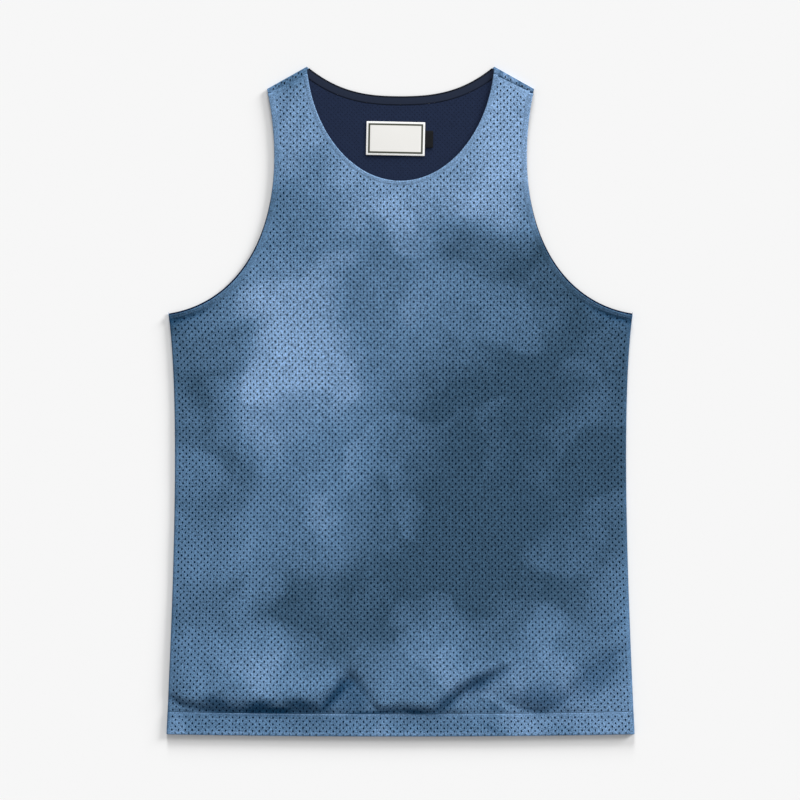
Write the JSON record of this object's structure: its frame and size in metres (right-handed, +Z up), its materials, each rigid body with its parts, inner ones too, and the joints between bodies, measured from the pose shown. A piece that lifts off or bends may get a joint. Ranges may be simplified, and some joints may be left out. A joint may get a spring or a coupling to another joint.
{
  "type": "basketball jersey",
  "caption": "Sleeveless basketball jersey of double knit mesh, laid flat, with scooped neck, deep armholes and turned hem.",
  "frame": {"origin": "on the surface that the jersey lies on, under the middle of its length and width", "axes": "+X towards the jersey's right edge as seen from above, +Y from the hem to the shoulders, +Z up off the surface, through back then front"},
  "size_m": [0.524, 0.75, 0.0124],
  "materials": {
    "outer_mesh": "light blue printed polyester mesh with small holes",
    "turned_bands": "the same knit turned over at the neck and armholes",
    "lining_mesh": "dark navy polyester mesh, matte",
    "neck_tape": "dark navy knitted tape",
    "label": "off-white woven label with a dark frame line, bare of text",
    "label_tab": "black woven tab, bare"
  },
  "bodies": {
    "root": {"back_panel": "outer_mesh", "back_hem": "outer_mesh", "back_lining": "lining_mesh", "front_lining": "lining_mesh", "front_panel": "outer_mesh", "front_hem": "outer_mesh", "front_neck_band": "turned_bands", "armhole_band_left": "turned_bands", "armhole_band_right": "turned_bands", "shoulder_left": "outer_mesh", "shoulder_right": "outer_mesh", "back_neck_tape": "neck_tape", "label": "label", "label_tab": "label_tab"}
  },
  "joints": []
}
